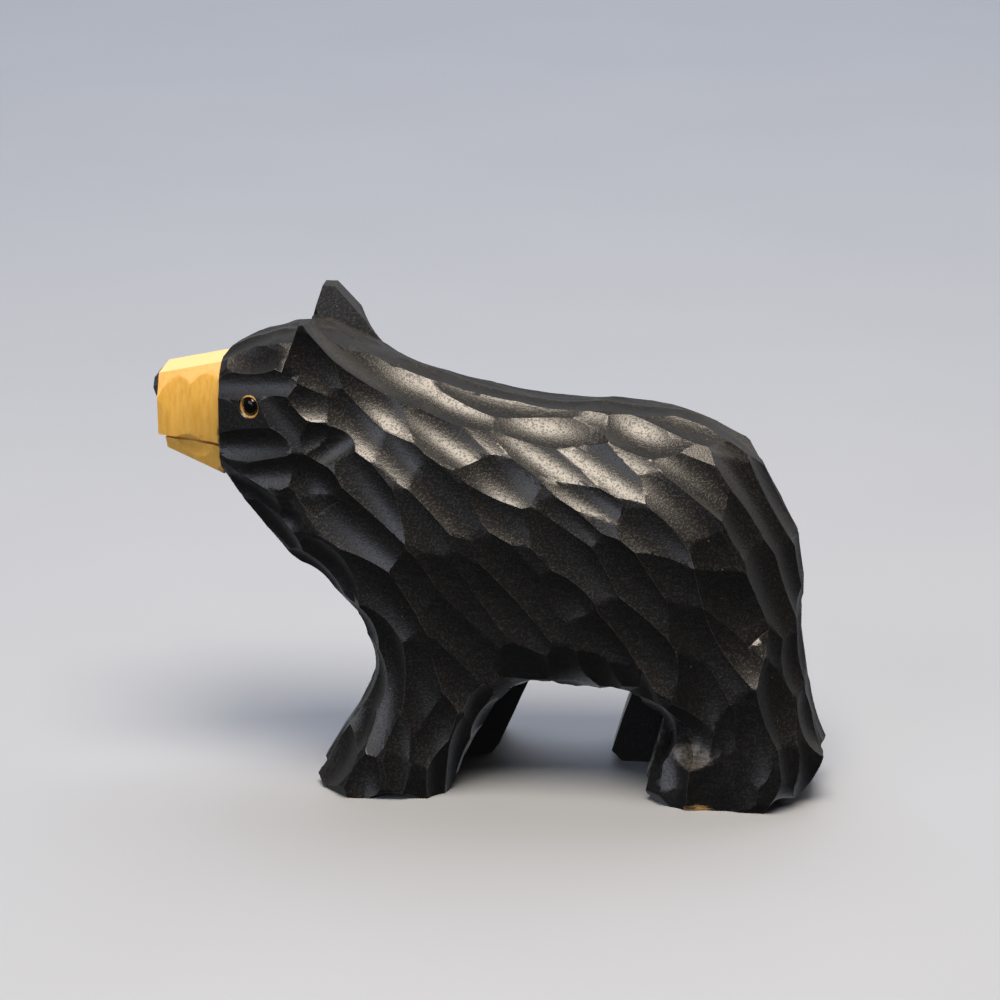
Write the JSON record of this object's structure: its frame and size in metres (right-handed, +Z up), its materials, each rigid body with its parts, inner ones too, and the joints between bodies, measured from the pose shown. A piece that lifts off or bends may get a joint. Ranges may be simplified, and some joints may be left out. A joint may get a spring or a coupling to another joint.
{
  "type": "carved animal figurine",
  "caption": "Small bear carved from one block of wood in broad gouge cuts, painted black with an ochre muzzle and glossy bead eyes.",
  "frame": {"origin": "middle of the bear's length and width, on the ground plane under its feet", "axes": "+Z up; the bear looks along -X; its left side is at -Y; +X runs from nose to tail"},
  "size_m": [0.095, 0.035, 0.0674],
  "materials": {
    "black_paint": "carved linden with thin satin black paint, worn lighter on the ridges",
    "ochre_paint": "carved linden with thin ochre paint, the grain showing through",
    "nose_paint": "black paint on the end of the muzzle",
    "eye_bead": "glossy black bead"
  },
  "bodies": {
    "root": {"carved_body": "black_paint", "muzzle": "ochre_paint", "nose": "nose_paint", "left_eye": "eye_bead", "right_eye": "eye_bead"}
  },
  "joints": []
}
